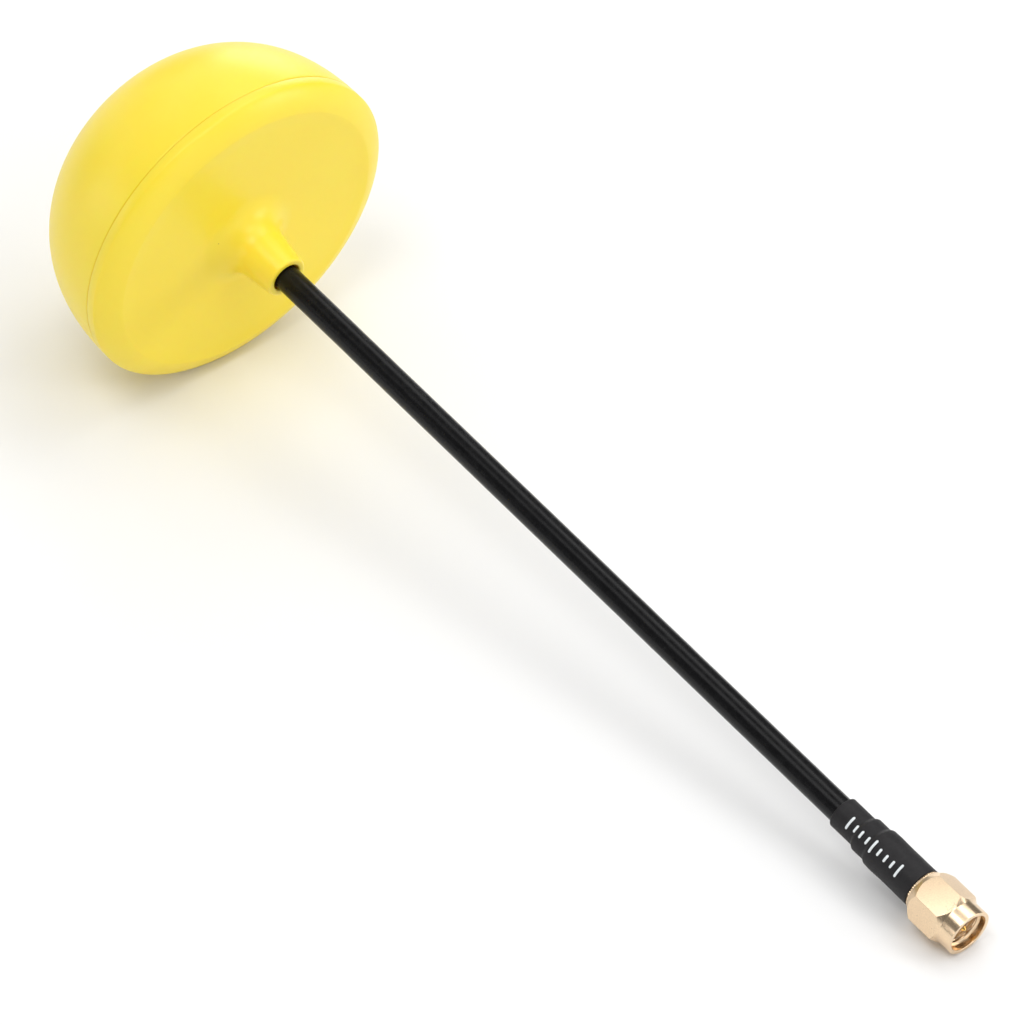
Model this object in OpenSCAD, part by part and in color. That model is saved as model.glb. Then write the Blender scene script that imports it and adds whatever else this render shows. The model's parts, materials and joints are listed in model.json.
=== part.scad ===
// Mushroom-shaped circular-polarised antenna on a straight coaxial stem with an SMA plug.
// Millimetres. Every sub-part is drawn along its own axis, with z = 0 at the plug's
// reference plane and +z towards the dome, then lay_down() puts the whole antenna the way
// it rests on a table: on the belt of its head and on one corner of the coupling nut.

/* [Dome] */
// Largest diameter of the head, at its belt
head_d = 56.4; // [50:0.1:64]
// Height of the dome, from the seam to the crown
dome_h = 25.2; // [20:0.1:30]
// Distance from the seam down to the belt
belt_drop = 1.5; // [0.8:0.1:3]
// Roundness of the crown, where 2 is an ellipse and more is squarer
crown_power = 2.39; // [2:0.01:3]
// Wall of both plastic shells
wall = 1.6; // [1.2:0.1:2]
// Depth of the fine groove along the seam
seam_groove = 0.12; // [0.05:0.01:0.3]

/* [Base cover] */
// Distance from the seam down to the rim's lowest ring
rim_drop = 3.9; // [3:0.1:5]
// Diameter of that lowest ring, around the recessed disc
ring_d = 48.4; // [44:0.1:50]
// Roundness of the rim, where 2 is an ellipse and less is nearer to a bevel
rim_power = 1.35; // [1.2:0.01:2.4]
// Depth of the recessed disc below the ring
disc_recess = 0.15; // [0.1:0.05:0.8]
// Width of the soft step between the ring and the disc
step_w = 1.6; // [0.6:0.1:3]
// Distance from the seam down to the boss's mouth
boss_drop = 14; // [11:0.1:18]
// Diameter of the boss just above its rounded lip
boss_lip_d = 7.1; // [6.9:0.1:9]
// Radius of the lip's rounding
lip_round = 0.45; // [0.2:0.05:0.7]
// Taper of the boss, in degrees from its axis
boss_taper = 7.5; // [4:0.5:12]
// Radius of the flare between the boss and the disc
boss_flare = 5; // [3:0.1:7]
// Bore of the boss
boss_bore_d = 4.9; // [4.7:0.05:5.4]
// Height of the spigot that centres the dome on the cover
spigot_h = 2.5; // [1.5:0.1:4]
// Wall of the spigot
spigot_wall = 1.1; // [0.8:0.1:1.4]

/* [Coaxial stem] */
// Length of bare jacket between the sleeve and the boss
stem_free = 130.4; // [60:0.1:200]
// Diameter over the jacket
jacket_d = 4.3; // [4.2:0.05:4.4]
// Diameter over the outer conductor
shield_d = 3.58; // [3.5:0.01:3.65]
// Diameter over the dielectric
core_insulation_d = 2.98; // [2.9:0.01:3.05]
// Diameter of the centre conductor
core_d = 0.92; // [0.88:0.01:0.96]

/* [Antenna lobes] */
// Number of wire lobes
lobe_count = 4; // [4]
// Radius of each lobe's arc
lobe_r = 19; // [16:0.1:19.2]
// Diameter of the lobe wire
wire_d = 1.1; // [0.8:0.05:1.3]
// Half of the angle between a lobe's two legs
lobe_half_angle = 52.5; // [45:0.5:54]
// Tilt of each lobe's plane
lobe_tilt = 40; // [30:0.5:41]
// Height of the feed point above the seam
feed_rise = 8.7; // [8.5:0.1:9]

/* [Heat-shrink sleeve] */
// Length of the sleeve
sleeve_l = 17.45; // [16:0.05:24]
// Gap from the reference plane to the sleeve
sleeve_from = 7.35; // [7.3:0.05:7.5]
// Diameter over the crimp ferrule's body
sleeve_big_d = 6.7; // [6.5:0.05:7]
// Diameter over the crimp ferrule's neck
sleeve_mid_d = 6.08; // [6:0.02:6.3]
// Diameter over the bare jacket
sleeve_small_d = 5.3; // [5:0.05:5.6]

/* [Coupling nut] */
// Width across the flats
nut_flats = 8; // [8:0.01:8.2]
// How far the nut's mouth stands in front of the reference plane
nut_reach = 2.8; // [2.5:0.05:3]
// Diameter of the nut's round nose
nut_nose_d = 7.8; // [7.4:0.05:7.9]
// Turn of the nut about its axis at rest
nut_turn = 8.6; // [0:0.1:60]
// Wall diameter of the threaded bore, 1/4-36 UNS
thread_d = 5.6; // [5.58:0.01:5.72]
// Length of the thread
thread_l = 3.3; // [3:0.1:3.4]
// Counterbore in front of the thread
counterbore_d = 6.5; // [6.4:0.05:6.6]
// Depth of the counterbore
counterbore_l = 1.3; // [0.8:0.05:1.4]
// Running clearance between the nut and the plug's barrel, on radius
nut_play = 0.05; // [0.02:0.01:0.1]

/* [Plug] */
// Outer diameter of the outer contact
nose_d = 4.59; // [4.5:0.01:4.6]
// Inner diameter of the outer contact, which is the dielectric's diameter
dielectric_d = 4.13; // [4.1:0.01:4.15]
// Length of the outer contact in front of the barrel's shoulder
nose_l = 2; // [1.9:0.05:2.1]
// Diameter of the barrel that the nut turns on
barrel_d = 5.2; // [5.1:0.01:5.4]
// Diameter of the knurled collar
collar_d = 6.4; // [6.2:0.05:6.6]
// Length of the knurled collar
collar_l = 0.3; // [0.2:0.05:0.35]
// Number of teeth around the collar's knurl
knurl_teeth = 48; // [24:1:60]
// Diameter of the contact pin
pin_d = 0.914; // [0.902:0.001:0.94]
// Length of the contact pin in front of the reference plane
pin_l = 2.1; // [1.9:0.05:2.3]

/* [Hidden] */
$fn = 96;

// Clearance between pieces that are pressed, glued or soldered together, on radius
seat = 0.01;

head_r = head_d / 2;
jacket_r = jacket_d / 2;
shield_r = shield_d / 2;
insulation_r = core_insulation_d / 2;
core_r = core_d / 2;
wire_r = wire_d / 2;
pin_r = pin_d / 2;

// Heights above the reference plane
sleeve_end_z = sleeve_from + sleeve_l;
boss_mouth_z = sleeve_end_z + stem_free;
seam_z = boss_mouth_z + boss_drop;
belt_z = seam_z - belt_drop;
ring_z = seam_z - rim_drop;
disc_z = ring_z + disc_recess;
feed_z = seam_z + feed_rise;

// Base cover: the inside of the disc, the spigot and the boss
ring_r = ring_d / 2;
spigot_r = head_r - wall - 0.2;
cover_floor_z = disc_z + wall;
boss_bore_r = boss_bore_d / 2;
lip_r = boss_lip_d / 2;
lip_z = boss_mouth_z + lip_round;
flare_foot_z = disc_z - boss_flare * (1 - sin(boss_taper));
flare_foot_r = lip_r + tan(boss_taper) * (flare_foot_z - lip_z);
flare_centre_r = flare_foot_r + boss_flare * cos(boss_taper);
boss_well_r = 9;
boss_well_z = cover_floor_z - 4;

// Coaxial stem: where each layer ends at the antenna and at the plug
jacket_top_z = seam_z + 0.5;
shield_top_z = feed_z - 0.9;
insulation_top_z = feed_z - 0.2;
core_top_z = feed_z + 2.3;
shield_foot_z = 4;
core_foot_z = 1.6;

// Lobes: where each leg starts, measured from the feed point along the leg
upper_leg_from = 1.5;
lower_leg_from = 2.6;

// Plug
barrel_r = barrel_d / 2;
nose_r = nose_d / 2;
dielectric_r = dielectric_d / 2;
collar_r = collar_d / 2;
collar_z = sleeve_from - collar_l;
shank_r = 2.85;
shank_z = 9;
solder_tube_r = 2.25;
solder_tube_z = 17;
body_bore_r = shield_r + seat;
contact_r = 0.635;
contact_foot_z = 3.9;
pin_cone_l = 0.45;
pin_tip_r = 0.12;

// Crimp ferrule: a body and a narrower neck over the jacket
ferrule_r = 2.87;
ferrule_neck_r = 2.6;
ferrule_end_z = 19.8;
ferrule_step_z = 16.95;

// Retaining ring, half in the barrel's groove and half in the nut's
ring_mid_z = 4.9;
ring_w = 0.5;
ring_in_r = 2.3;
ring_out_r = 3;
groove_gap = 0.1;

// Coupling nut
nut_corner_r = nut_flats / 2 / cos(30);
nut_nose_r = nut_nose_d / 2;
nut_front_z = -nut_reach;
nut_back_z = collar_z - 0.05;
nut_bore_r = barrel_r + nut_play;
thread_r = thread_d / 2;
thread_z = nut_front_z + counterbore_l;
relief_r = thread_r + 0.4;
relief_l = 0.6;
nose_end_z = -0.1;
hex_front_z = 0.8;
hex_back_z = 5.3;
back_cone = 1.3;
nut_back_r = 3.42;
edge = 0.12;
nose_edge = 0.05;

// The antenna rests on its belt and on the nut's lowest corner
lie_angle = atan((head_r - nut_corner_r * cos(nut_turn)) / (belt_z - hex_front_z));

// Puts the antenna down on the table, with its dome towards -X
module lay_down() {
    rotate([0, lie_angle - 90, 0]) children();
}

// Points of an arc about [r, z]
function arc(r, z, radius, from, to, steps) =
    [for (i = [0:steps]) let (q = from + (to - from) * i / steps)
        [r + radius * cos(q), z + radius * sin(q)]];

// Points of a rounded quarter, from its widest point to its end on the axis side
function quarter(r, z, w, h, power, from, steps) =
    [for (i = [0:steps]) let (q = from + (90 - from) * i / steps)
        [r + w * pow(cos(q), 2 / power), z + h * pow(sin(q), 2 / power)]];

function reversed(list) = [for (i = [len(list) - 1:-1:0]) list[i]];

// The crown of a dome of radius r and height h above the belt, starting at the seam
function crown(r, h, steps) =
    quarter(0, belt_z, r, h, crown_power,
            asin(pow(belt_drop / h, crown_power / 2)), steps);

// A tube of outer radius r1 and inner radius r0
module tube(r1, r0, z0, z1) {
    difference() {
        translate([0, 0, z0]) cylinder(r = r1, h = z1 - z0);
        translate([0, 0, z0 - 1]) cylinder(r = r0, h = z1 - z0 + 2);
    }
}

module dome_shell() {
    outside = crown(head_r, dome_h + belt_drop, 56);
    inside = crown(head_r - wall, dome_h + belt_drop - wall, 40);
    foot = outside[0];
    color("gold") lay_down() rotate_extrude()
        polygon(concat(
            [inside[0], [foot.x - seam_groove, seam_z], [foot.x, seam_z + seam_groove]],
            [for (i = [1:len(outside) - 2]) outside[i]],
            [[0, seam_z + dome_h], [0, seam_z + dome_h - wall]],
            [for (i = [len(inside) - 2:-1:1]) inside[i]]));
}

module base_cover() {
    rim = quarter(ring_r, -belt_z, head_r - ring_r, rim_drop - belt_drop, rim_power, 0, 18);
    step = [for (i = [1:8]) let (s = i / 8)
        [ring_r - step_w * s, ring_z + disc_recess * (1 - cos(180 * s)) / 2]];
    flare = arc(flare_centre_r, disc_z - boss_flare, boss_flare, 90, 180 - boss_taper, 16);
    lip = arc(lip_r - lip_round, lip_z, lip_round, -boss_taper, -90, 6);
    throat = 0.25;
    color("gold") lay_down() rotate_extrude()
        polygon(concat(
            [[spigot_r, seam_z], [head_r - seam_groove, seam_z],
             [head_r, seam_z - seam_groove]],
            [for (p = rim) [p.x, -p.y]],
            step, flare, lip,
            [[boss_bore_r + throat, boss_mouth_z], [boss_bore_r, boss_mouth_z + throat],
             [boss_bore_r, boss_well_z], [boss_well_r, cover_floor_z],
             [spigot_r - spigot_wall, cover_floor_z],
             [spigot_r - spigot_wall, seam_z + spigot_h],
             [spigot_r - 0.3, seam_z + spigot_h], [spigot_r, seam_z + spigot_h - 0.6]]));
}

// Glue between the jacket and the boss, with a fillet inside the cover
module boss_adhesive() {
    bead_r = 4.4;
    bead_z = boss_well_z + 0.2;
    well_slope = (cover_floor_z - boss_well_z) / (boss_well_r - boss_bore_r);
    bead_foot_z = boss_well_z + well_slope * (bead_r - boss_bore_r);
    color("ivory") lay_down() rotate_extrude()
        polygon([[jacket_r + seat, boss_mouth_z + 2.5],
                 [boss_bore_r - seat, boss_mouth_z + 2.5],
                 [boss_bore_r - seat, boss_well_z + seat],
                 [bead_r, bead_foot_z + 3 * seat],
                 [bead_r - 0.5, bead_foot_z + 0.7],
                 [jacket_r + 0.7, bead_z + 3.2],
                 [jacket_r + seat, bead_z + 3.9]]);
}

// One lobe: two straight legs joined by an arc, in a plane tilted about the lobe's middle
module lobe_solid(index, r) {
    spin = 360 / lobe_count * index;
    translate([0, 0, feed_z]) rotate([0, 0, spin]) rotate([lobe_tilt, 0, 0]) {
        rotate([0, 0, -lobe_half_angle]) rotate_extrude(angle = 2 * lobe_half_angle)
            translate([lobe_r, 0]) circle(r = r, $fn = 32);
        for (leg = [[lobe_half_angle, upper_leg_from], [-lobe_half_angle, lower_leg_from]])
            rotate([0, 0, leg[0]]) {
                translate([leg[1], 0, 0]) rotate([0, 90, 0])
                    cylinder(r = r, h = lobe_r - leg[1], $fn = 32);
                translate([lobe_r, 0, 0]) sphere(r = r, $fn = 32);
            }
    }
}

module lobe_wire(index) {
    color("peru") lay_down() lobe_solid(index, wire_r);
}

// Solder that joins the upper legs to the centre conductor
module feed_solder() {
    bead_r = 1.5;
    color("silver") lay_down() difference() {
        translate([0, 0, feed_z + 1.2]) sphere(r = bead_r);
        translate([0, 0, feed_z - 2]) cylinder(r = 2 * bead_r, h = 2);
        translate([0, 0, feed_z - 1]) cylinder(r = core_r + seat, h = 5);
        for (i = [0:lobe_count - 1]) lobe_solid(i, wire_r + seat);
    }
}

// Solder that joins the lower legs to the outer conductor
module ground_solder() {
    bead_r = 0.9;
    color("silver") lay_down() difference() {
        translate([0, 0, feed_z - 1.5]) rotate_extrude()
            translate([shield_r + 0.3, 0]) circle(r = bead_r);
        translate([0, 0, feed_z - 4]) cylinder(r = shield_r + seat, h = 5);
        for (i = [0:lobe_count - 1]) lobe_solid(i, wire_r + seat);
    }
}

module coax_jacket() {
    color("#1b1b1d") lay_down()
        tube(jacket_r, shield_r + seat, solder_tube_z + 0.2, jacket_top_z);
}

module coax_outer_conductor() {
    color("tan") lay_down()
        tube(shield_r, insulation_r + seat, shield_foot_z + seat, shield_top_z);
}

module coax_dielectric() {
    color("white") lay_down()
        tube(insulation_r, core_r + seat, shield_foot_z + seat, insulation_top_z);
}

module coax_core() {
    color("peru") lay_down() translate([0, 0, core_foot_z])
        cylinder(r = core_r, h = core_top_z - core_foot_z);
}

module heat_shrink_sleeve() {
    big_r = sleeve_big_d / 2;
    mid_r = sleeve_mid_d / 2;
    small_r = sleeve_small_d / 2;
    big_end_z = sleeve_from + 9.2;
    mid_end_z = ferrule_end_z + 0.05;
    swell = 0.06;
    edge_round = 0.15;
    function blend(r1, r2, z1, z2, steps) =
        [for (i = [0:steps]) let (s = i / steps)
            [r1 + (r2 - r1) * (1 - cos(180 * s)) / 2, z1 + (z2 - z1) * s]];
    color("#373536") lay_down() rotate_extrude()
        polygon(concat(
            [[ferrule_r + 2 * seat, sleeve_from], [big_r - edge_round, sleeve_from],
             [big_r, sleeve_from + edge_round]],
            blend(big_r - swell, mid_r, big_end_z, big_end_z + 0.85, 8),
            blend(mid_r, small_r, mid_end_z - 0.35, mid_end_z + 0.5, 8),
            [[small_r, sleeve_end_z - edge_round], [small_r - edge_round, sleeve_end_z],
             [jacket_r + 2 * seat, sleeve_end_z],
             [jacket_r + 2 * seat, ferrule_end_z + 2 * seat],
             [ferrule_neck_r + 2 * seat, ferrule_end_z + 2 * seat],
             [ferrule_neck_r + 2 * seat, ferrule_step_z + 2 * seat],
             [ferrule_r + 2 * seat, ferrule_step_z + 2 * seat]]));
}

module crimp_ferrule() {
    color("goldenrod") lay_down() rotate_extrude()
        polygon([[solder_tube_r + seat, shank_z + seat], [ferrule_r, shank_z + seat],
                 [ferrule_r, ferrule_step_z], [ferrule_neck_r, ferrule_step_z],
                 [ferrule_neck_r, ferrule_end_z], [jacket_r + seat, ferrule_end_z],
                 [jacket_r + seat, solder_tube_z + seat],
                 [solder_tube_r + seat, solder_tube_z + seat]]);
}

module connector_body() {
    groove_z = ring_mid_z - ring_w / 2 - groove_gap;
    groove_w = ring_w + 2 * groove_gap;
    groove_r = ring_in_r - groove_gap;
    tooth = 0.09;
    color("goldenrod") lay_down() difference() {
        rotate_extrude()
            polygon([[dielectric_r, 0], [nose_r - nose_edge, 0], [nose_r, nose_edge],
                     [nose_r, nose_l], [barrel_r, nose_l], [barrel_r, groove_z],
                     [groove_r, groove_z], [groove_r, groove_z + groove_w],
                     [barrel_r, groove_z + groove_w], [barrel_r, collar_z],
                     [collar_r, collar_z], [collar_r, sleeve_from],
                     [shank_r, sleeve_from], [shank_r, shank_z],
                     [solder_tube_r, shank_z], [solder_tube_r, solder_tube_z],
                     [body_bore_r, solder_tube_z], [body_bore_r, shield_foot_z],
                     [dielectric_r, shield_foot_z]]);
        for (i = [0:knurl_teeth - 1]) rotate([0, 0, 360 / knurl_teeth * i])
            translate([collar_r, 0, collar_z - 1]) rotate([0, 0, 45])
                translate([-tooth, -tooth, 0]) cube([2 * tooth, 2 * tooth, collar_l + 1]);
    }
}

// The hexagon, its chamfers and the round nose are one turned piece with a stepped bore
module coupling_nut() {
    groove_z = ring_mid_z - ring_w / 2 - groove_gap;
    groove_w = ring_w + 2 * groove_gap;
    groove_r = ring_out_r + groove_gap;
    front_cone = (hex_front_z - nose_end_z) / (nut_corner_r - nut_flats / 2);
    color("goldenrod") lay_down() {
        difference() {
            intersection() {
                translate([0, 0, nut_front_z]) rotate([0, 0, nut_turn])
                    cylinder(r = nut_corner_r, h = nut_back_z - nut_front_z, $fn = 6);
                rotate_extrude()
                    polygon([[0, nut_front_z], [nut_nose_r - edge, nut_front_z],
                             [nut_nose_r, nut_front_z + edge],
                             [nut_nose_r, nose_end_z - 0.1 * front_cone],
                             [nut_corner_r + 0.2, hex_front_z + 0.2 * front_cone],
                             [nut_corner_r + 0.2, hex_back_z - 0.2 * back_cone],
                             [nut_back_r, hex_back_z
                                 + back_cone * (nut_corner_r - nut_back_r)],
                             [nut_back_r, nut_back_z - edge],
                             [nut_back_r - edge, nut_back_z], [0, nut_back_z]]);
            }
            rotate_extrude()
                polygon([[0, nut_front_z - 1], [counterbore_d / 2 + edge, nut_front_z - 1],
                         [counterbore_d / 2 + edge, nut_front_z],
                         [counterbore_d / 2, nut_front_z + edge],
                         [counterbore_d / 2, thread_z - 0.25],
                         [thread_r, thread_z], [thread_r, thread_z + thread_l],
                         [relief_r, thread_z + thread_l],
                         [relief_r, thread_z + thread_l + relief_l],
                         [nut_bore_r, thread_z + thread_l + relief_l],
                         [nut_bore_r, groove_z], [groove_r, groove_z],
                         [groove_r, groove_z + groove_w],
                         [nut_bore_r, groove_z + groove_w],
                         [nut_bore_r, nut_back_z + 1], [0, nut_back_z + 1]]);
        }
    }
}

// A split ring that keeps the nut on the barrel and lets it turn
module retaining_ring() {
    gap_w = 0.9;
    color("darkgoldenrod") lay_down() difference() {
        tube(ring_out_r, ring_in_r, ring_mid_z - ring_w / 2, ring_mid_z + ring_w / 2);
        translate([0, -gap_w / 2, ring_mid_z - 1]) cube([ring_out_r + 1, gap_w, 2]);
    }
}

module gasket() {
    color("#c0472b") lay_down() tube(2.65, nose_r + seat, nose_l - 0.55, nose_l - seat);
}

module connector_dielectric() {
    color("white") lay_down() tube(dielectric_r - seat, contact_r + seat, 0, shield_foot_z);
}

module centre_contact() {
    cup_z = 1.4;
    shoulder_z = 0.05;
    color("gold") lay_down() rotate_extrude()
        polygon([[0, -pin_l], [pin_tip_r, -pin_l], [pin_r, pin_cone_l - pin_l],
                 [pin_r, shoulder_z], [contact_r, shoulder_z],
                 [contact_r, contact_foot_z], [core_r + seat, contact_foot_z],
                 [core_r + seat, cup_z], [0, cup_z]]);
}

dome_shell();
base_cover();
boss_adhesive();
lobe_wire(0);  // lobe_wire_1
lobe_wire(1);  // lobe_wire_2
lobe_wire(2);  // lobe_wire_3
lobe_wire(3);  // lobe_wire_4
feed_solder();
ground_solder();
coax_jacket();
coax_outer_conductor();
coax_dielectric();
coax_core();
heat_shrink_sleeve();
crimp_ferrule();
connector_body();
coupling_nut();
retaining_ring();
gasket();
connector_dielectric();
centre_contact();
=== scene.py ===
"""Looks of a mushroom-shaped antenna with a coaxial screw plug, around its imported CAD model.

Pieces are drawn in millimetres along the antenna's own axis: z = 0 at the plug's reference
plane, +z towards the dome, +x on the side that faces up. piece() puts them in the row frame.
"""

import json
import math

import bmesh
import bpy
from mathutils import Matrix, Vector, noise


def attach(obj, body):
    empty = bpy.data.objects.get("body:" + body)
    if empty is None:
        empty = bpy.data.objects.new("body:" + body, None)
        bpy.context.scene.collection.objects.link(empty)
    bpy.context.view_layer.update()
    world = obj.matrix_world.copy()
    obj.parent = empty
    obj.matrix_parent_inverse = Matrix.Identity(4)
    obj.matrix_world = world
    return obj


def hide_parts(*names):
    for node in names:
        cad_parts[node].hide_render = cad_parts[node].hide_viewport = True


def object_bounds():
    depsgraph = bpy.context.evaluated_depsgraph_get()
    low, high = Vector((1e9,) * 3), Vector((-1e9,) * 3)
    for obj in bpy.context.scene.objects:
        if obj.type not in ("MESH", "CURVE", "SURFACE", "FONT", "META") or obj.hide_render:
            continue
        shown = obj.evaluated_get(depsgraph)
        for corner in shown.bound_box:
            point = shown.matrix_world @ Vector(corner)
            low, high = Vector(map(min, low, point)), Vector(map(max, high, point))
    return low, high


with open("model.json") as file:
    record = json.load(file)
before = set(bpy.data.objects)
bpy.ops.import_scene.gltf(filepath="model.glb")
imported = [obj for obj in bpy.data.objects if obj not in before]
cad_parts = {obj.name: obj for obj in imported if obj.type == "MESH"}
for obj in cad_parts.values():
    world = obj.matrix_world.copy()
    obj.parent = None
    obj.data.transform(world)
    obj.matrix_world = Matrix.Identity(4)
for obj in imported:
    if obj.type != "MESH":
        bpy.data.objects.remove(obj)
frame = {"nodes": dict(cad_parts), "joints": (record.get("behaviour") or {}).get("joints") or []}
cad_low, cad_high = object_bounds()

MM = 0.001
TAU = 2 * math.pi
UP, DOWN = math.pi / 2, -math.pi / 2     # directions in an outline

# ---------------------------------------------------------------- the antenna's own axis
spin = frame["joints"][0]
ALONG = -Vector(spin["axis"]).normalized()
SIDE = Vector((0, 1, 0))
OVER = SIDE.cross(ALONG)
TO_ROW = Matrix((OVER, SIDE, ALONG)).transposed().to_4x4()
TO_ROW.translation = Vector(spin["pos_m"])
TO_LOCAL = TO_ROW.inverted()


def span(node):
    """Lowest and highest z and the largest radius of a CAD node about the axis, in millimetres."""
    points = [TO_LOCAL @ v.co / MM for v in frame["nodes"][node].data.vertices]
    heights = [p.z for p in points]
    return min(heights), max(heights), max(math.hypot(p.x, p.y) for p in points)


# ---------------------------------------------------------------- sizes, in millimetres and radians
dome_foot, dome_top, head_r = span("dome_shell")
boss_mouth, spigot_top, _ = span("base_cover")
jacket_from, jacket_to, jacket_r = span("coax_jacket")
sleeve_from, sleeve_to, sleeve_big_r = span("heat_shrink_sleeve")
nut_front, nut_back, nut_corner_r = span("coupling_nut")
body_from, body_to, collar_r = span("connector_body")
pin_tip, contact_to, contact_r = span("centre_contact")

# Head
SEAM_GROOVE = 0.08
GROOVE_SHOULDER_IN = 0.35 * SEAM_GROOVE
GROOVE_SHOULDER_OFF = 0.3 * SEAM_GROOVE
SEAM_SHADE = 0.13        # how far the seam's painted shade reaches on each side
BELT_DROP = 1.5
CROWN_POWER = 2.39
WALL = 1.6
RIM_DROP = 3.9
RING_R = 24.2
RIM_POWER = 1.35
RECESS = 0.09
RECESS_STEP = 2.4
BOSS_LIP_R = 3.55
LIP_ROUND = 0.45
BOSS_TAPER = math.radians(7.5)
BOSS_FLARE = 5.0
BOSS_BORE_R = 2.45
THROAT = 0.25
SPIGOT_GAP = 0.2
SPIGOT_WALL = 1.1
SPIGOT_LEAD_IN = 0.3
SPIGOT_LEAD_LENGTH = 0.6
BOSS_WELL_R = 9.0
BOSS_WELL_DEPTH = 4.0

# Stem
STEM_WAVE_SIZE = 3.0
STEM_WAVE = 0.012
STEM_INSET = 0.01

# Shrink sleeve, over the crimp ferrule's body and neck and the bare jacket
SLEEVE_MID_R = 3.04
SLEEVE_SMALL_R = 2.65
BIG_LENGTH = 9.2
BIG_FALL = 0.85
MID_END = 19.85
MID_FALL = 0.85
MID_LEAD = 0.35          # the second step starts this far before MID_END
SWELL = 0.05
SWELL_BEFORE_STEP = 1.2
SWELL_LENGTH = 1.1
SLEEVE_INSET = 0.05
SLEEVE_LIP = 0.15
SLEEVE_WAVE_SIZE = 2.2
SLEEVE_WAVE = 0.035
SLEEVE_WAVE_INSET = 0.02
FERRULE_STEP = 16.95
FERRULE_END = 19.8
FERRULE_R = 2.87
FERRULE_NECK_R = 2.6
SLEEVE_WAVE_FROM_R = 2.63    # the sleeve is uneven only where it is wider than this
SLIP = 0.02

# Coupling nut
FLATS_R = 4.0
NOSE_R = 3.9
NOSE_END = -0.1
FRONT_EDGE = 0.8
REAR_EDGE = 5.3
REAR_CONE = 1.3
REAR_R = 3.42
MOUTH_R = 3.25
MOUTH_DEPTH = 1.3
LEDGE_CONE = 0.25
THREAD_R = 2.8
THREAD_DEPTH = 0.37
THREAD_LENGTH = 3.3
THREAD_PITCH = 25.4 / 36
HALF_CREST = 0.06        # share of the pitch
FLANK = 0.32             # share of the pitch
THREAD_FADE = 0.25
RELIEF_R = 3.2
RELIEF_LENGTH = 0.6
RELIEF_EDGE = 0.02       # how far the relief's front wall leans back
BARREL_BORE_R = 2.65
GROOVE_R = 3.1
GROOVE_FROM = 4.55
GROOVE_TO = 5.25
NUT_TURN = math.radians(8.6)
CORNER_ROUND = 0.1

# Connector body and contact
SHOULDER_R = 2.6
CONTACT_RING_R = 2.295
CONTACT_RING_BORE = 2.065
SHOULDER_FROM = 2.0
BODY_GROOVE_R = 2.2
COLLAR_LENGTH = 0.3
COLLAR_TEETH = 48
TOOTH_DEPTH = 0.13
TOOTH_STEEPNESS = 1.3
SHANK_R = 2.85
KNURL_FROM_R = 2.95      # only the collar is wider than this
SHANK_TO = 9.0
TUBE_R = 2.25
CABLE_BORE_R = 1.8
CABLE_STOP = 4.0
PIN_R = 0.457
PIN_CONE = 0.45
PIN_TIP_R = 0.12
PIN_SHOULDER = 0.05
CUP_R = 0.47
CUP_FLOOR = 1.4

seam = dome_foot
belt = seam - BELT_DROP
ring = seam - RIM_DROP
disc = ring + RECESS
cover_floor = disc + WALL


# ---------------------------------------------------------------- outlines and meshes
ON_AXIS = 1e-6           # a point nearer the axis than this is a pole
SAME_RADIUS = 1e-6
CORNER_SHARE = 0.45      # the most of its shorter side that a corner's rounding takes
CORNER_STEPS = 5
HEAD_SEGMENTS = 320
CROWN_STEPS, CROWN_INSIDE_STEPS = 130, 60
RIM_STEPS = 40
RECESS_STEPS = 16
DISC_STEPS = 6
FLARE_STEPS = 36
LIP_STEPS = 12
THROAT_STEPS = 6
STEM_SEGMENTS, STEM_ROWS = 72, 420
SLEEVE_SEGMENTS, SLEEVE_ROWS = 128, 150
SLEEVE_LIP_STEPS = 5
CORNER_SEGMENTS, FLAT_SEGMENTS = 8, 26
TOOTH_SEGMENTS = 8
PIN_SEGMENTS = 48
THREAD_ROWS = 16         # about this many rows for each turn of the thread


def evenly(start, end, count):
    """Numbers from start to end in count equal steps."""
    return [start + (end - start) * i / count for i in range(count + 1)]


def arc(r, z, radius, start, end, steps):
    """Points (r, z) of an arc between two angles."""
    angles = evenly(start, end, steps)
    return [(r + radius * math.cos(q), z + radius * math.sin(q)) for q in angles]


def oval(r, z, width, height, power, start, steps):
    """Points on a quarter of a superellipse, from the angle start to the end near the axis."""
    points = []
    for q in evenly(start, math.pi / 2, steps):
        c, s = max(math.cos(q), 0), math.sin(q)
        points.append((r + width * c ** (2 / power), z + height * s ** (2 / power)))
    return points


def rounded(corners):
    """A closed outline whose corners (r, z, rounding) are cut by curves of about that radius."""
    outline = []
    for i, (r, z, radius) in enumerate(corners):
        here = Vector((r, z))
        before = Vector(corners[i - 1][:2]) - here
        after = Vector(corners[(i + 1) % len(corners)][:2]) - here
        if radius == 0:
            outline.append((r, z))
            continue
        half = before.angle(after) / 2
        side = min(before.length, after.length)
        reach = min(radius / math.tan(half), CORNER_SHARE * side)
        start = here + before.normalized() * reach
        end = here + after.normalized() * reach
        for t in evenly(0, 1, CORNER_STEPS):
            point = start * (1 - t) ** 2 + here * 2 * t * (1 - t) + end * t ** 2
            outline.append((point.x, point.y))
    return outline


def ease(a, b, t):
    """From a to b with a soft start and end."""
    t = min(max(t, 0), 1)
    return a + (b - a) * (1 - math.cos(math.pi * t)) / 2


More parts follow.
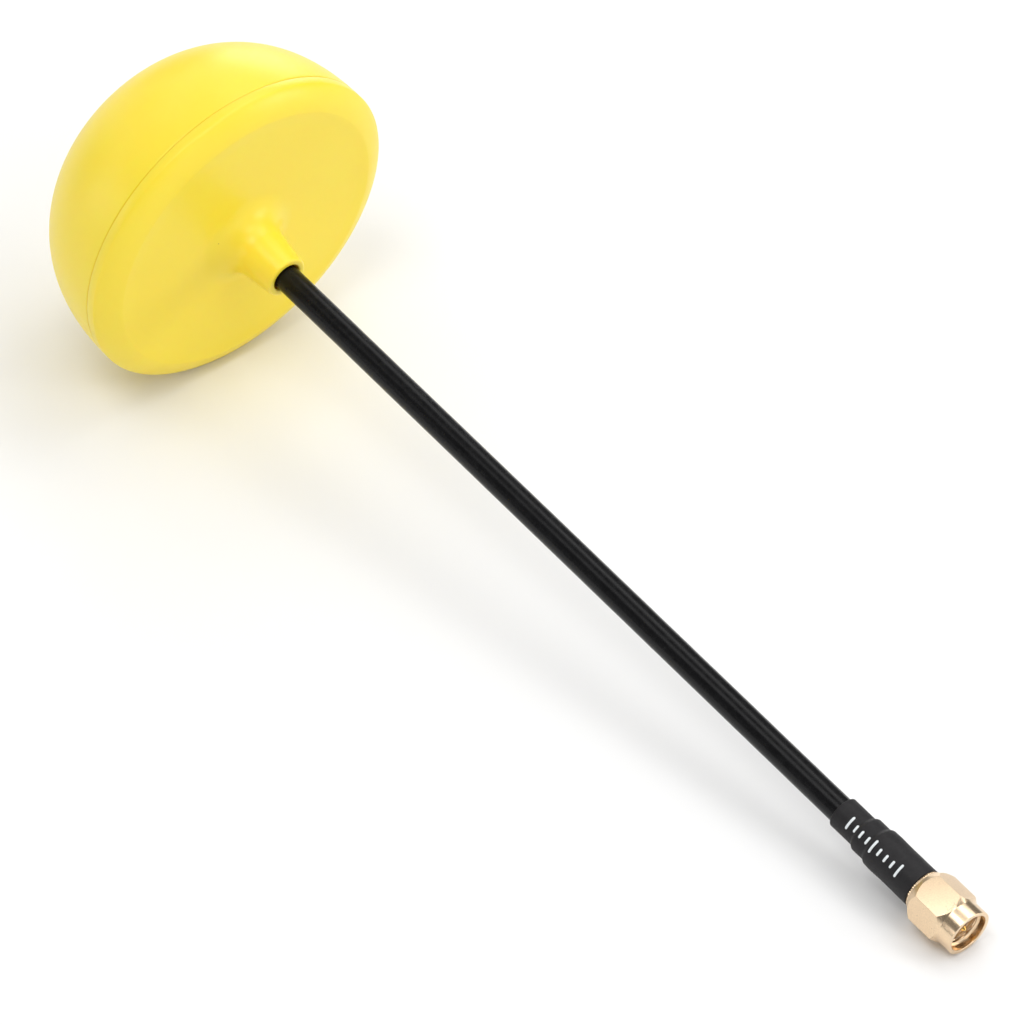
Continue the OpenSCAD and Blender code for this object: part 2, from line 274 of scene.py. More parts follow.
def bridge(rows, closed):
    """Faces between rows of point numbers. A row of one point is a pole."""
    faces = []
    pairs = list(zip(rows, rows[1:])) + ([(rows[-1], rows[0])] if closed else [])
    for low, high in pairs:
        count = max(len(low), len(high))
        if count == 1:
            continue
        for i in range(count):
            j = (i + 1) % count
            if len(low) == 1:
                faces.append((low[0], high[j], high[i]))
            elif len(high) == 1:
                faces.append((low[i], low[j], high[0]))
            else:
                faces.append((low[i], low[j], high[j], high[i]))
    return faces


def turned(outline, segments, shape=None, closed=True):
    """A turned solid from an outline of (r, z). shape(r, z, angle) may move each point."""
    points, rows = [], []
    for r, z in outline:
        count = 1 if r < ON_AXIS else segments
        rows.append(range(len(points), len(points) + count))
        for i in range(count):
            angle = TAU * i / segments
            radius, height = shape(r, z, angle) if shape and count > 1 else (r, z)
            points.append((radius * math.cos(angle), radius * math.sin(angle), height))
    return points, bridge(rows, closed)


def piece(name, shape, body, look, stands_for=(), sharp=35):
    """Makes an object from points in millimetres and faces, and puts it on its body."""
    points, faces = shape
    mesh = bpy.data.meshes.new(name)
    mesh.from_pydata([TO_ROW @ (Vector(p) * MM) for p in points], [], faces)
    outward = bmesh.new()
    outward.from_mesh(mesh)
    bmesh.ops.recalc_face_normals(outward, faces=outward.faces)
    outward.to_mesh(mesh)
    outward.free()
    mesh.materials.append(look)
    mesh.shade_smooth()
    mesh.set_sharp_from_angle(angle=math.radians(sharp))
    made = bpy.data.objects.new(name, mesh)
    bpy.context.scene.collection.objects.link(made)
    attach(made, body)
    if stands_for:
        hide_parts(*stands_for)


# ---------------------------------------------------------------- materials
YELLOW_TONES = (0.925, 0.713, 0.042), (0.938, 0.730, 0.047)
YELLOW_SPECK = (0.42, 0.28, 0.03)
# the deeper yellow painted round the seam as the shade in its groove
SEAM_SHADE_PAINT = (0.90, 0.61, 0.006)
YELLOW_SCATTER = (1.0, 0.6, 0.1)
JACKET_TONES = (0.003, 0.003, 0.0034), (0.005, 0.005, 0.0056)
SLEEVE_TONES = (0.0088, 0.0080, 0.0091), (0.0120, 0.0111, 0.0123)
GOLD_TINT = (0.89, 0.68, 0.455)
PIN_TINT = (0.90, 0.56, 0.16)
INK_TONES = (0.70, 0.74, 0.75), (0.82, 0.86, 0.87)
# the gap colour is painted shade between the braid's wires
BRAID_GAP_SHADE, BRAID_WIRE = (0.3, 0.28, 0.25), (0.66, 0.64, 0.6)
BRAID_ANGLE = math.radians(40)
BRAID_WAVES = 0.4        # for each millimetre
FLOOR_TONES = (0.865, 0.865, 0.865), (0.875, 0.875, 0.875)
GOLD_DEEP, GOLD_PIT = 0.90, 0.55     # shares of the tint
HEXAGON_DULLING = 0.12
DULLING_LEAD = 0.1
SOFT_EDGE = 0.6          # where a soft edge starts, as a share of its reach
WIDE = 0.3, 0.7          # the values that nearly all of a noise lies between
NARROW = 0.35, 0.65


class Look:
    """A procedural material on one Principled shader. Lengths are in millimetres."""

    def __init__(self, name):
        self.material = bpy.data.materials.new(name)
        self.material.use_nodes = True
        self.tree = self.material.node_tree
        self.shader = self.tree.nodes["Principled BSDF"]
        place = self.node("ShaderNodeTexCoord")
        turn = self.node("ShaderNodeMapping")
        turn.inputs["Rotation"].default_value = TO_LOCAL.to_euler()
        self.join(place.outputs["Object"], turn.inputs["Vector"])
        self.place = turn.outputs["Vector"]

    def node(self, kind, **settings):
        made = self.tree.nodes.new(kind)
        for name, value in settings.items():
            setattr(made, name, value)
        return made

    def join(self, output, socket):
        self.tree.links.new(output, socket)

    def put(self, **values):
        """Constant values, on the shader's own sockets."""
        for name, value in values.items():
            self.shader.inputs[name.replace("_", " ")].default_value = value

    def stretched(self, x, y, z):
        """The place, squeezed so that a pattern is longer along an axis with a small factor."""
        mapping = self.node("ShaderNodeMapping")
        mapping.inputs["Scale"].default_value = (x, y, z)
        self.join(self.place, mapping.inputs["Vector"])
        return mapping.outputs["Vector"]

    def grain(self, size, detail=2.0, roughness=0.5, where=None):
        """Noise from 0 to 1 whose features are about size millimetres wide."""
        made = self.node("ShaderNodeTexNoise")
        made.inputs["Scale"].default_value = 1 / (size * MM)
        made.inputs["Detail"].default_value = detail
        made.inputs["Roughness"].default_value = roughness
        self.join(where or self.place, made.inputs["Vector"])
        return made.outputs["Fac"]

    def specks(self, spacing, radius):
        """0 on small scattered specks and 1 between them."""
        cells = self.node("ShaderNodeTexVoronoi")
        cells.inputs["Scale"].default_value = 1 / (spacing * MM)
        self.join(self.place, cells.inputs["Vector"])
        return self.spread(cells.outputs["Distance"], radius * SOFT_EDGE, radius, 0, 1)

    def away_from(self, height, reach):
        """0 at a height along the axis, rising to 1 at reach millimetres from it."""
        apart = self.node("ShaderNodeSeparateXYZ")
        self.join(self.place, apart.inputs["Vector"])
        off = self.node("ShaderNodeMath", operation="SUBTRACT")
        off.inputs[1].default_value = height * MM
        self.join(apart.outputs["Z"], off.inputs[0])
        size = self.node("ShaderNodeMath", operation="ABSOLUTE")
        self.join(off.outputs["Value"], size.inputs[0])
        return self.spread(size.outputs["Value"], SOFT_EDGE * reach * MM, reach * MM, 0, 1)

    def spread(self, value, from_low, from_high, to_low, to_high):
        made = self.node("ShaderNodeMapRange")
        made.inputs["From Min"].default_value = from_low
        made.inputs["From Max"].default_value = from_high
        made.inputs["To Min"].default_value = to_low
        made.inputs["To Max"].default_value = to_high
        self.join(value, made.inputs["Value"])
        return made.outputs["Result"]

    def ramp(self, value, *stops):
        """A colour from a value, by stops of (position, colour)."""
        made = self.node("ShaderNodeValToRGB")
        elements = made.color_ramp.elements
        while len(elements) < len(stops):
            elements.new(0.5)
        for element, (position, colour) in zip(elements, stops):
            element.position = position
            element.color = (*colour, 1)
        self.join(value, made.inputs["Fac"])
        return made.outputs["Color"]

    def blend(self, value, low, high):
        """Mixes two colours, each a colour or an output, by value."""
        made = self.node("ShaderNodeMix", data_type="RGBA")
        sockets = [s for s in made.inputs if s.type == "RGBA"]
        for socket, colour in zip(sockets, (low, high)):
            if isinstance(colour, tuple):
                socket.default_value = (*colour, 1)
            else:
                self.join(colour, socket)
        self.join(value, made.inputs["Factor"])
        return next(s for s in made.outputs if s.type == "RGBA")

    def mottle(self, size, detail, tones, ends=WIDE):
        """A colour that drifts between two tones, in patches about size millimetres wide."""
        return self.ramp(self.grain(size, detail), *zip(ends, tones))

    def relief(self, *layers):
        """Stacks bumps. Each layer is (height from 0 to 1, depth in millimetres, strength)."""
        normal = None
        for height, depth, strength in layers:
            made = self.node("ShaderNodeBump")
            made.inputs["Distance"].default_value = depth * MM
            made.inputs["Strength"].default_value = strength
            self.join(height, made.inputs["Height"])
            if normal:
                self.join(normal, made.inputs["Normal"])
            normal = made.outputs["Normal"]
        self.join(normal, self.shader.inputs["Normal"])

    def colour(self, output):
        self.join(output, self.shader.inputs["Base Color"])

    def gloss(self, value, low, high):
        """Roughness that follows a noise, from low to high."""
        self.join(self.spread(value, *WIDE, low, high), self.shader.inputs["Roughness"])


def yellow_plastic():
    """Satin moulded plastic with a little scatter, rare specks and painted shade in the seam."""
    look = Look("yellow_plastic")
    look.put(IOR=1.47, Subsurface_Weight=0.3, Subsurface_Scale=0.9 * MM)
    look.shader.inputs["Subsurface Radius"].default_value = YELLOW_SCATTER
    dust = look.blend(look.specks(9, 0.012), YELLOW_SPECK, look.mottle(14, 3, YELLOW_TONES, NARROW))
    # The deeper yellow round the seam is painted shade in the seam groove.
    look.colour(look.blend(look.away_from(seam, SEAM_SHADE), SEAM_SHADE_PAINT, dust))
    look.gloss(look.grain(0.6, 4), 0.33, 0.39)
    look.relief((look.grain(3.5, 2), 0.03, 0.2), (look.grain(0.14, 2), 0.006, 0.25))
    return look.material


def black_jacket():
    """Glossy extruded plastic with faint lines drawn along the stem."""
    look = Look("black_jacket")
    look.put(IOR=1.3)
    look.colour(look.mottle(2, 3, JACKET_TONES))
    drawn = look.grain(0.35, 2, 0.5, look.stretched(1, 1, 0.06))
    look.gloss(look.grain(0.9, 4, 0.6), 0.18, 0.30)
    look.relief((drawn, 0.015, 0.25), (look.grain(0.7, 3), 0.012, 0.25))
    return look.material


def shrink_tubing():
    """Matte tubing with a fine pebbled skin."""
    look = Look("black_sleeve")
    look.put(IOR=1.36)
    look.colour(look.mottle(1.1, 4, SLEEVE_TONES))
    look.gloss(look.grain(0.4, 4), 0.48, 0.6)
    look.relief((look.grain(1.6, 2), 0.03, 0.25), (look.grain(0.12, 3), 0.008, 0.5))
    return look.material


def gold(name="gold_plating", tint=GOLD_TINT, low=0.17, high=0.25):
    """The Look of gold plating with fine pits, for the caller to finish or to use as it is."""
    look = Look(name)
    look.put(Metallic=1.0)
    deep = tuple(GOLD_DEEP * c for c in tint)
    pit = tuple(GOLD_PIT * c for c in tint)
    look.colour(look.blend(look.specks(0.9, 0.09), pit, look.mottle(0.22, 4, (deep, tint), NARROW)))
    look.gloss(look.grain(0.25, 4), low, high)
    look.relief((look.grain(0.15, 3), 0.003, 0.3), (look.grain(1.2, 1), 0.002, 0.1))
    return look


def nut_gold():
    """Gold whose hexagon is duller than its turned nose."""
    look = gold("nut_gold")
    height = look.node("ShaderNodeSeparateXYZ")
    look.join(look.place, height.inputs["Vector"])
    nose = (NOSE_END - DULLING_LEAD) * MM
    dull = look.spread(height.outputs["Z"], nose, FRONT_EDGE * MM, 0, HEXAGON_DULLING)
    total = look.node("ShaderNodeMath", operation="ADD")
    roughness = look.shader.inputs["Roughness"]
    look.join(roughness.links[0].from_socket, total.inputs[0])
    look.join(dull, total.inputs[1])
    look.join(total.outputs["Value"], roughness)
    return look.material


def plain(name, dark, light, low, high, metal=0.0, size=0.6):
    """A simple two-tone material, for the print and for pieces inside the antenna."""
    look = Look(name)
    look.put(Metallic=metal)
    look.colour(look.mottle(size, 4, (dark, light)))
    look.gloss(look.grain(size / 3, 3), low, high)
    look.relief((look.grain(size / 4, 2), 0.01, 0.4))
    return look.material


def braid():
    """Tinned wires that cross in a basket weave round the cable, with painted shade in the gaps
    between them.
    """
    look = Look("tinned_copper")
    look.put(Metallic=1.0)
    ways = []
    for direction in (1, -1):
        turn = look.node("ShaderNodeMapping")
        turn.inputs["Rotation"].default_value = (0, 0, direction * BRAID_ANGLE)
        look.join(look.place, turn.inputs["Vector"])
        wave = look.node("ShaderNodeTexWave", bands_direction="DIAGONAL")
        wave.inputs["Scale"].default_value = BRAID_WAVES / MM
        look.join(turn.outputs["Vector"], wave.inputs["Vector"])
        ways.append(wave.outputs["Fac"])
    woven = look.node("ShaderNodeMath", operation="MAXIMUM")
    look.join(ways[0], woven.inputs[0])
    look.join(ways[1], woven.inputs[1])
    height = woven.outputs["Value"]
    # Where the weave is low the colour darkens: painted shade between the wires.
    look.colour(look.ramp(height, (0, BRAID_GAP_SHADE), (1, BRAID_WIRE)))
    look.gloss(look.grain(0.3, 3), 0.3, 0.45)
    look.relief((height, 0.05, 0.6))
    return look.material


def floor_paint():
    """A plain pale tabletop."""
    look = Look("floor_paint")
    look.put(IOR=1.4)
    look.colour(look.mottle(60, 3, FLOOR_TONES))
    look.gloss(look.grain(3, 3), 0.7, 0.8)
    look.relief((look.grain(0.6, 3), 0.02, 0.3))
    return look.material


YELLOW = yellow_plastic()
JACKET = black_jacket()
SLEEVE = shrink_tubing()
GOLD = gold().material
NUT_GOLD = nut_gold()
PIN_GOLD = gold("gold_pin", PIN_TINT, 0.12, 0.2).material
INK = plain("white_ink", *INK_TONES, 0.45, 0.6, size=0.3)


# ---------------------------------------------------------------- head
def seam_edge(radius, way):
    """The seam groove's floor and shoulder. way is 1 on the dome and -1 on the cover."""
    shoulder = seam + way * GROOVE_SHOULDER_OFF
    return [(radius - SEAM_GROOVE, seam), (radius - GROOVE_SHOULDER_IN, shoulder)]


def dome():
    """The crown: a superellipse's shell turned about the axis, open at the seam."""
    start = math.asin((BELT_DROP / (dome_top - belt)) ** (CROWN_POWER / 2))
    height = dome_top - belt
    outside = oval(0, belt, head_r, height, CROWN_POWER, start, CROWN_STEPS)
    inside_r, inside_height = head_r - WALL, height - WALL
    inside = oval(0, belt, inside_r, inside_height, CROWN_POWER, start, CROWN_INSIDE_STEPS)
    foot_r = outside[0][0]
    outside[0] = (foot_r, seam + SEAM_GROOVE)
    outside[-1] = (0, dome_top)
    inside[0] = (inside[0][0], seam)
    inside[-1] = (0, dome_top - WALL)
    outline = seam_edge(foot_r, 1) + outside + inside[::-1]
    return turned(outline, HEAD_SEGMENTS)


def cover():
    """The lower cover: rounded rim, recessed disc, flared boss with its bore, and the spigot."""
    rim = oval(RING_R, 0, head_r - RING_R, RIM_DROP - BELT_DROP, RIM_POWER, 0, RIM_STEPS)
    rim = [(r, belt - drop) for r, drop in rim]
    step_end = RING_R - RECESS_STEP
    parts = evenly(0, 1, RECESS_STEPS)[1:]
    step = [(RING_R - RECESS_STEP * t, ease(ring, disc, t)) for t in parts]
    lip_z = boss_mouth + LIP_ROUND
    foot_z = disc - BOSS_FLARE * (1 - math.sin(BOSS_TAPER))
    foot_r = BOSS_LIP_R + math.tan(BOSS_TAPER) * (foot_z - lip_z)
    flare_r = foot_r + BOSS_FLARE * math.cos(BOSS_TAPER)
    side = math.pi - BOSS_TAPER
    flare = arc(flare_r, disc - BOSS_FLARE, BOSS_FLARE, UP, side, FLARE_STEPS)
    lip = arc(BOSS_LIP_R - LIP_ROUND, lip_z, LIP_ROUND, -BOSS_TAPER, DOWN, LIP_STEPS)
    spigot_r = head_r - WALL - SPIGOT_GAP
    well_z = cover_floor - BOSS_WELL_DEPTH
    flat = [(r, disc) for r in evenly(step_end, flare_r, DISC_STEPS)[1:-1]]
    throat_z = boss_mouth + THROAT
    throat = arc(BOSS_BORE_R + THROAT, throat_z, THROAT, DOWN, -math.pi, THROAT_STEPS)
    outline = seam_edge(head_r, -1) + [(head_r, seam - SEAM_GROOVE)]
    outline += rim + step + flat + flare + lip + throat
    outline += [
        (BOSS_BORE_R, well_z),
        (BOSS_WELL_R, cover_floor),
        (spigot_r - SPIGOT_WALL, cover_floor),
        (spigot_r - SPIGOT_WALL, spigot_top),
        (spigot_r - SPIGOT_LEAD_IN, spigot_top),
        (spigot_r, spigot_top - SPIGOT_LEAD_LENGTH),
        (spigot_r, seam),
    ]
    return turned(outline, HEAD_SEGMENTS)


def uneven(size, amount, seed):
    """A smooth random change of radius, for surfaces that aren't perfectly turned."""

    def change(r, z, angle):
        where = Vector((math.cos(angle) * r, math.sin(angle) * r, z)) / size
        return amount * noise.noise(where + Vector((seed, 0, 0)))

    return change


# ---------------------------------------------------------------- stem and sleeve
def stem():
    """The jacket: a long tube whose outside is very slightly uneven."""
    waver = uneven(STEM_WAVE_SIZE, STEM_WAVE, 5)
    outline = [(jacket_r, z) for z in evenly(jacket_from, jacket_to, STEM_ROWS)]
    outline += [(CABLE_BORE_R, jacket_to), (CABLE_BORE_R, jacket_from)]

    def shape(r, z, angle):
        return (r + waver(r, z, angle) - STEM_INSET, z) if r > CABLE_BORE_R else (r, z)

    return turned(outline, STEM_SEGMENTS, shape)


def sleeve_radius(z):
    """The sleeve's outer radius over the ferrule's body, its neck and the bare jacket."""
    big_end = sleeve_from + BIG_LENGTH
    radius = ease(sleeve_big_r, SLEEVE_MID_R, (z - big_end) / BIG_FALL)
    if z > big_end + BIG_FALL:
        radius = ease(SLEEVE_MID_R, SLEEVE_SMALL_R, (z - MID_END + MID_LEAD) / MID_FALL)
    swell = SWELL * math.exp(-((z - big_end + SWELL_BEFORE_STEP) / SWELL_LENGTH) ** 2)
    return radius - SLEEVE_INSET + swell


def sleeve():
    """The shrink sleeve, with round lips outside and the ferrule's steps inside."""
    waver = uneven(SLEEVE_WAVE_SIZE, SLEEVE_WAVE, 11)
    lip = SLEEVE_LIP
    heights = evenly(sleeve_from + lip, sleeve_to - lip, SLEEVE_ROWS)
    low_r, high_r = sleeve_radius(sleeve_from) - lip, sleeve_radius(sleeve_to) - lip
    outline = arc(low_r, sleeve_from + lip, lip, DOWN, 0, SLEEVE_LIP_STEPS)
    outline += [(sleeve_radius(z), z) for z in heights[1:-1]]
    outline += arc(high_r, sleeve_to - lip, lip, 0, UP, SLEEVE_LIP_STEPS)
    over_jacket = jacket_r + SLIP
    over_neck = FERRULE_NECK_R + SLIP
    over_ferrule = FERRULE_R + SLIP
    outline += [
        (over_jacket, sleeve_to),
        (over_jacket, FERRULE_END + SLIP),
        (over_neck, FERRULE_END + SLIP),
        (over_neck, FERRULE_STEP + SLIP),
        (over_ferrule, FERRULE_STEP + SLIP),
        (over_ferrule, sleeve_from),
    ]

    def shape(r, z, angle):
        wavy = r > SLEEVE_WAVE_FROM_R and abs(r - over_ferrule) > SAME_RADIUS
        return (r + waver(r, z, angle) - SLEEVE_WAVE_INSET, z) if wavy else (r, z)

    return turned(outline, SLEEVE_SEGMENTS, shape)


# ---------------------------------------------------------------- plug
SIXTH = math.pi / 3
HALF_SIXTH = math.pi / 6
ROUND_CENTRE_R = (FLATS_R - CORNER_ROUND) / math.cos(HALF_SIXTH)
FLAT_STARTS = HALF_SIXTH - math.atan((FLATS_R - CORNER_ROUND) * math.tan(HALF_SIXTH) / FLATS_R)


def hexagon_radius(angle):
    """The distance from the axis to a hexagon whose corners are rounded."""
    from_corner = abs((angle - NUT_TURN + HALF_SIXTH) % SIXTH - HALF_SIXTH)
    if from_corner < FLAT_STARTS:
        inner = CORNER_ROUND ** 2 - (ROUND_CENTRE_R * math.sin(from_corner)) ** 2
        return ROUND_CENTRE_R * math.cos(from_corner) + math.sqrt(max(inner, 0))
    return FLATS_R / math.cos(HALF_SIXTH - from_corner)


def nut_angles():
    """Angles round the nut, close together at the corners."""
    corner = evenly(-FLAT_STARTS, FLAT_STARTS, CORNER_SEGMENTS)
    flat = evenly(FLAT_STARTS, SIXTH - FLAT_STARTS, FLAT_SEGMENTS)[1:-1]
    return [NUT_TURN + SIXTH * i + offset for i in range(6) for offset in corner + flat]


def thread_radius(z, angle):
    """The threaded bore's radius. The thread's groove fades out at both ends."""
    turn = (z / THREAD_PITCH - angle / TAU) % 1
    groove = min(max((0.5 - abs(turn - 0.5) - HALF_CREST) / FLANK, 0), 1)
    start = nut_front + MOUTH_DEPTH
    into = min(z - start, start + THREAD_LENGTH - z) / THREAD_FADE
    return THREAD_R + THREAD_DEPTH * groove * min(max(into, 0), 1)


def nut_outline(angle):
    """The nut's closed outline in the half plane at one angle."""
    r = hexagon_radius(angle)
    slope = (FRONT_EDGE - NOSE_END) / (nut_corner_r - FLATS_R)
    front = NOSE_END + (r - FLATS_R) * slope
    rear = REAR_EDGE + REAR_CONE * (nut_corner_r - r)
    ledge = nut_front + MOUTH_DEPTH
    thread_end = ledge + THREAD_LENGTH
    outline = rounded([
        (MOUTH_R, nut_front, 0.12),
        (NOSE_R, nut_front, 0.13),
        (NOSE_R, NOSE_END + (NOSE_R - FLATS_R) * slope, 0.05),
        (r, front, 0.06),
        (r, rear, 0.06),
        (REAR_R, REAR_EDGE + REAR_CONE * (nut_corner_r - REAR_R), 0.04),
        (REAR_R, nut_back, 0.08),
        (BARREL_BORE_R, nut_back, 0.05),
        (BARREL_BORE_R, GROOVE_TO, 0),
        (GROOVE_R, GROOVE_TO, 0),
        (GROOVE_R, GROOVE_FROM, 0),
        (BARREL_BORE_R, GROOVE_FROM, 0),
        (BARREL_BORE_R, thread_end + RELIEF_LENGTH, 0.03),
        (RELIEF_R, thread_end + RELIEF_LENGTH, 0),
        (RELIEF_R, thread_end + RELIEF_EDGE, 0),
    ])
    rows = THREAD_ROWS * round(THREAD_LENGTH / THREAD_PITCH)
    outline += [(thread_radius(z, angle), z) for z in evenly(thread_end, ledge, rows)]
    outline.append((MOUTH_R, ledge - LEDGE_CONE))
    return outline


def nut():
    """The coupling nut, with one outline for each angle round it."""
    points, rows = [], None
    for angle in nut_angles():
        column = nut_outline(angle)
        rows = rows or [[] for _ in column]
        for row, (r, z) in zip(rows, column):
            row.append(len(points))
            points.append((r * math.cos(angle), r * math.sin(angle), z))
    return points, bridge(rows, closed=True)


def plug_body():
    """The plug's body: outer contact, barrel with the ring's groove, knurled collar and shank."""
    collar_from = sleeve_from - COLLAR_LENGTH
    outline = rounded([
        (CONTACT_RING_BORE, body_from, 0.03),
        (CONTACT_RING_R, body_from, 0.05),
        (CONTACT_RING_R, SHOULDER_FROM, 0.03),
        (SHOULDER_R, SHOULDER_FROM, 0.05),
        (SHOULDER_R, GROOVE_FROM, 0),
        (BODY_GROOVE_R, GROOVE_FROM, 0),
        (BODY_GROOVE_R, GROOVE_TO, 0),
        (SHOULDER_R, GROOVE_TO, 0),
        (SHOULDER_R, collar_from, 0.03),
        (collar_r, collar_from, 0.05),
        (collar_r, sleeve_from, 0.05),
        (SHANK_R, sleeve_from, 0.02),
        (SHANK_R, SHANK_TO, 0.1),
        (TUBE_R, SHANK_TO, 0.05),
        (TUBE_R, body_to, 0.1),
        (CABLE_BORE_R, body_to, 0.05),
        (CABLE_BORE_R, CABLE_STOP, 0),
        (CONTACT_RING_BORE, CABLE_STOP, 0),
    ])

    def knurl(r, z, angle):
        if r < KNURL_FROM_R:
            return r, z
        tooth = abs((angle * COLLAR_TEETH / TAU) % 1 - 0.5) * 2
        return r - TOOTH_DEPTH * min(tooth * TOOTH_STEEPNESS, 1), z

    return turned(outline, COLLAR_TEETH * TOOTH_SEGMENTS, knurl)


def pin():
    """The centre contact, with its conical tip in front and a cup for the cable behind."""
    cone_end = pin_tip + PIN_CONE
    outline = rounded([
        (0, pin_tip, 0),
        (PIN_TIP_R, pin_tip, 0.1),
        (PIN_R, cone_end, 0.12),
        (PIN_R, PIN_SHOULDER, 0.02),
        (contact_r, PIN_SHOULDER, 0.03),
        (contact_r, contact_to, 0.03),
        (CUP_R, contact_to, 0.02),
        (CUP_R, CUP_FLOOR, 0),
        (0, CUP_FLOOR, 0),
    ])
    return turned(outline, PIN_SEGMENTS, closed=False)


# ---------------------------------------------------------------- printed scale
TICKS = 9
TICK_FROM, TICK_TO = 10.6, 21.7
TICK_WIDTH = 0.4
TICK_END = 0.02          # half the width that is left at a tick's very end
TICK_ACROSS, TICK_ALONG = 6, 20
LONG_EVERY = 4
LONG_TICK, SHORT_TICK = 2.35, 1.3
INK_DEPTH = 0.03
INK_LIFT = 0.012
PRINT_ANGLE = math.radians(-42)


def tick(middle_z, length):
    """A thin patch of ink with round ends, which follows the sleeve's surface."""
    across, along = TICK_ACROSS, TICK_ALONG
    tops, bottoms, points = [], [], []
    for rows, lift in ((tops, INK_LIFT), (bottoms, -INK_DEPTH)):
        for v in evenly(-length / 2, length / 2, along):
            past = max(abs(v) - (length - TICK_WIDTH) / 2, 0)
            half = math.sqrt(max((TICK_WIDTH / 2) ** 2 - past ** 2, TICK_END ** 2))
            row = []
            for z in evenly(middle_z - half, middle_z + half, across):
                r = sleeve_radius(z)
                angle = PRINT_ANGLE + v / r
                row.append(len(points))
                points.append(((r + lift) * math.cos(angle), (r + lift) * math.sin(angle), z))
            rows.append(row)
    faces = []
    for j in range(along):
        for i in range(across):
            for grid in (tops, bottoms):
                faces.append((grid[j][i], grid[j + 1][i], grid[j + 1][i + 1], grid[j][i + 1]))
        for i in (0, -1):
            faces.append((tops[j][i], bottoms[j][i], bottoms[j + 1][i], tops[j + 1][i]))
    for i in range(across):
        for j in (0, -1):
            faces.append((tops[j][i], tops[j][i + 1], bottoms[j][i + 1], bottoms[j][i]))
    return points, faces


def scale():
    """A row of ticks along the sleeve, with long ones among them."""
    points, faces = [], []
    for number, z in enumerate(evenly(TICK_FROM, TICK_TO, TICKS - 1)):
        length = SHORT_TICK if number % LONG_EVERY else LONG_TICK
        more_points, more_faces = tick(z, length)
        faces += [tuple(k + len(points) for k in face) for face in more_faces]
        points += more_points
    return points, faces


piece("dome", dome(), "antenna", YELLOW, ["dome_shell"])
piece("lower_cover", cover(), "antenna", YELLOW, ["base_cover"])
piece("stem", stem(), "antenna", JACKET, ["coax_jacket"])
piece("sleeve", sleeve(), "antenna", SLEEVE, ["heat_shrink_sleeve"])
piece("nut", nut(), "nut", NUT_GOLD, ["coupling_nut"], sharp=28)
piece("plug_body", plug_body(), "antenna", GOLD, ["connector_body"], sharp=50)
piece("pin", pin(), "antenna", PIN_GOLD, ["centre_contact"], sharp=60)

piece("printed_scale", scale(), "antenna", INK, sharp=60)

# The CAD nodes that stay as they are, with their materials, and those that share another's.
INNER = {
    "boss_adhesive": plain("adhesive", (0.72, 0.68, 0.54), (0.86, 0.83, 0.7), 0.3, 0.5),
    "feed_solder": plain("solder", (0.55, 0.55, 0.55), (0.74, 0.74, 0.74), 0.2, 0.4, metal=1.0),
    "coax_core": plain("copper", (0.62, 0.3, 0.16), (0.8, 0.44, 0.26), 0.25, 0.4, metal=1.0),
    "coax_outer_conductor": braid(),
    "coax_dielectric": plain("white_dielectric", (0.82, 0.81, 0.78), (0.9, 0.89, 0.86), 0.4, 0.55),
    "retaining_ring": plain(
        "spring_bronze", (0.6, 0.4, 0.2), (0.74, 0.52, 0.28), 0.25, 0.4, metal=1.0),
    "gasket": plain("silicone", (0.5, 0.09, 0.03), (0.64, 0.14, 0.06), 0.45, 0.6),
    "crimp_ferrule": GOLD,
}
SAME = {
    "ground_solder": "feed_solder",
    "lobe_wire_1": "coax_core",
    "lobe_wire_2": "coax_core",
    "lobe_wire_3": "coax_core",
    "lobe_wire_4": "coax_core",
    "connector_dielectric": "coax_dielectric",
}
INNER.update({node: INNER[like] for node, like in SAME.items()})
for node, look in INNER.items():
    slots = frame["nodes"][node].data.materials
    slots.clear()
    slots.append(look)


# ---------------------------------------------------------------- floor, light and camera
FLOOR_REACH = 3.0        # metres each way from the origin
SQUARE = (-1, -1), (1, -1), (1, 1), (-1, 1)
AMBIENT = (0.2, 0.2, 0.2, 1)


def floor():
    """The tabletop, at the height of the CAD model's lowest point."""
    mesh = bpy.data.meshes.new("floor")
    corners = [(x * FLOOR_REACH, y * FLOOR_REACH, cad_low.z) for x, y in SQUARE]
    mesh.from_pydata(corners, [], [(0, 1, 2, 3)])
    mesh.materials.append(floor_paint())
    made = bpy.data.objects.new("floor", mesh)
    bpy.context.scene.collection.objects.link(made)


# Softboxes stand round the antenna in rings, one ring for each elevation in degrees. Each ring
# gives the radiance of its boxes by azimuth: 0 is +X, the plug's side, and 90 is +Y, the far side.
SOFTBOXES = {
    12: {0: 1.8, 45: 4.5, 135: 3.1, 180: 0.8, 225: 2.0, 270: 1.9},
    30: {158: 1.0, 202: 0.8},
    48: {0: 3.5, 45: 1.8, 90: 1.8, 135: 1.4, 180: 1.2},
    66: {22: 0.4, 68: 3.0, 112: 1.9, 248: 1.9, 292: 5.2},
    88: {0: 0.9},
}
SOFTBOX_SIZE = 0.46      # metres
SOFTBOX_DISTANCE = 1.2


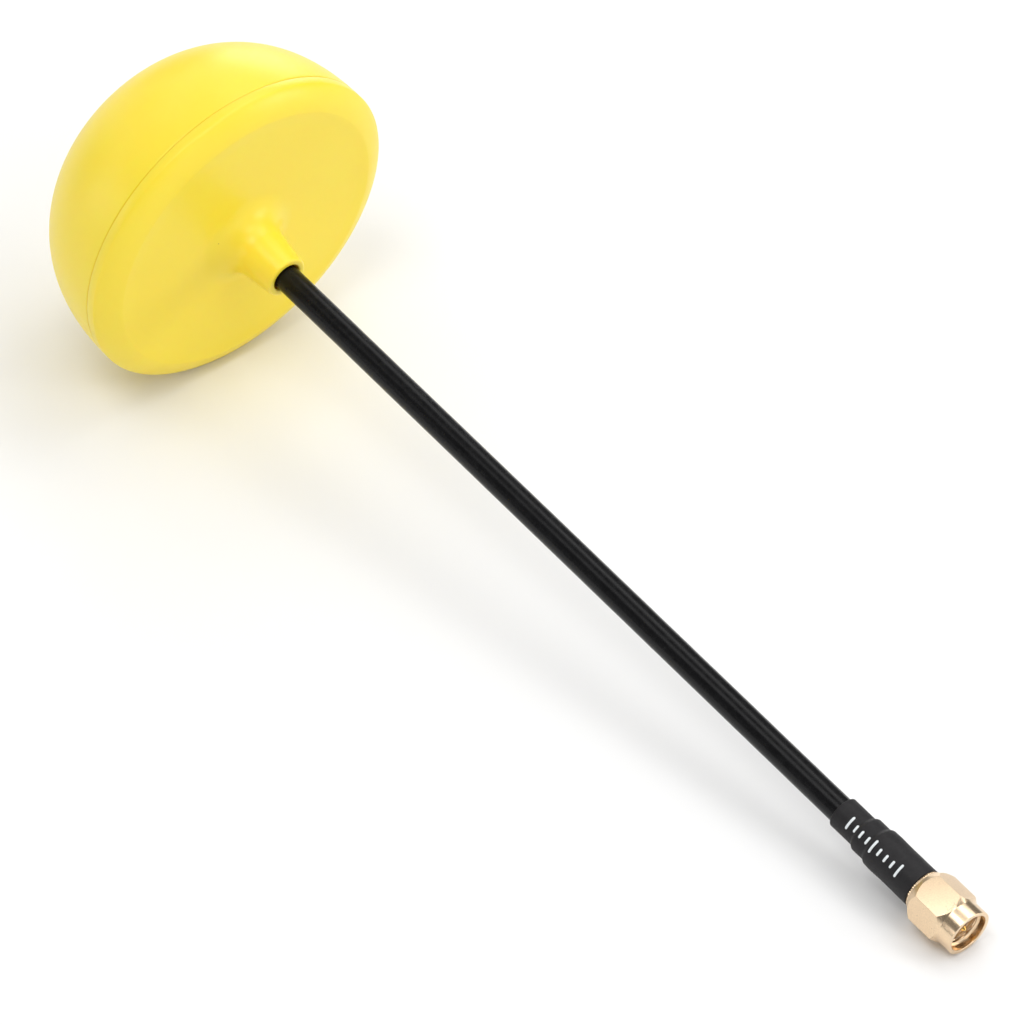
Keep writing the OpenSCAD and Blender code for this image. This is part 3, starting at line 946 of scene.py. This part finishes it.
def softbox(azimuth, elevation, radiance):
    """A square area light that faces the antenna's middle."""
    name = f"softbox_{elevation}_{azimuth}"
    lamp = bpy.data.lights.new(name, "AREA")
    lamp.shape = "SQUARE"
    lamp.size = SOFTBOX_SIZE
    lamp.energy = radiance * math.pi * SOFTBOX_SIZE ** 2
    made = bpy.data.objects.new(name, lamp)
    bpy.context.scene.collection.objects.link(made)
    a, e = math.radians(azimuth), math.radians(elevation)
    way = Vector((math.cos(a) * math.cos(e), math.sin(a) * math.cos(e), math.sin(e)))
    made.location = TARGET + way * SOFTBOX_DISTANCE
    made.rotation_mode = "QUATERNION"
    made.rotation_quaternion = way.to_track_quat("Z", "Y")


AIM_FROM_PLUG = 98.56 * MM
AIM_OFFSET = Vector((-0.146, -1.633, -1.034)) * MM
CAMERA_AZIMUTH = math.radians(49.994)
CAMERA_ELEVATION = math.radians(42.212)
CAMERA_DISTANCE = 1087.2 * MM
CAMERA_LENS = 253.51
CAMERA_SENSOR = 36
CAMERA_SEES_TO = 20      # metres
TARGET = TO_ROW @ Vector((0, 0, AIM_FROM_PLUG)) + AIM_OFFSET


def camera():
    """The camera, a long lens that looks down from the plug's side and the near side."""
    a, e = CAMERA_AZIMUTH, CAMERA_ELEVATION
    back = Vector((math.sin(a) * math.cos(e), -math.cos(a) * math.cos(e), math.sin(e)))
    view = bpy.data.cameras.new("camera")
    view.lens = CAMERA_LENS
    view.sensor_width = CAMERA_SENSOR
    view.clip_end = CAMERA_SEES_TO
    made = bpy.data.objects.new("camera", view)
    bpy.context.scene.collection.objects.link(made)
    made.location = TARGET + back * CAMERA_DISTANCE
    made.rotation_mode = "QUATERNION"
    made.rotation_quaternion = back.to_track_quat("Z", "Y")
    bpy.context.scene.camera = made


def light():
    """All the softboxes, a dim even world and the plain view transform."""
    for elevation, ring in SOFTBOXES.items():
        for azimuth, radiance in ring.items():
            softbox(azimuth, elevation, radiance)
    world = bpy.data.worlds.new("studio")
    world.use_nodes = True
    world.node_tree.nodes["Background"].inputs["Color"].default_value = AMBIENT
    bpy.context.scene.world = world
    bpy.context.scene.view_settings.view_transform = "Standard"


camera()
floor()
light()
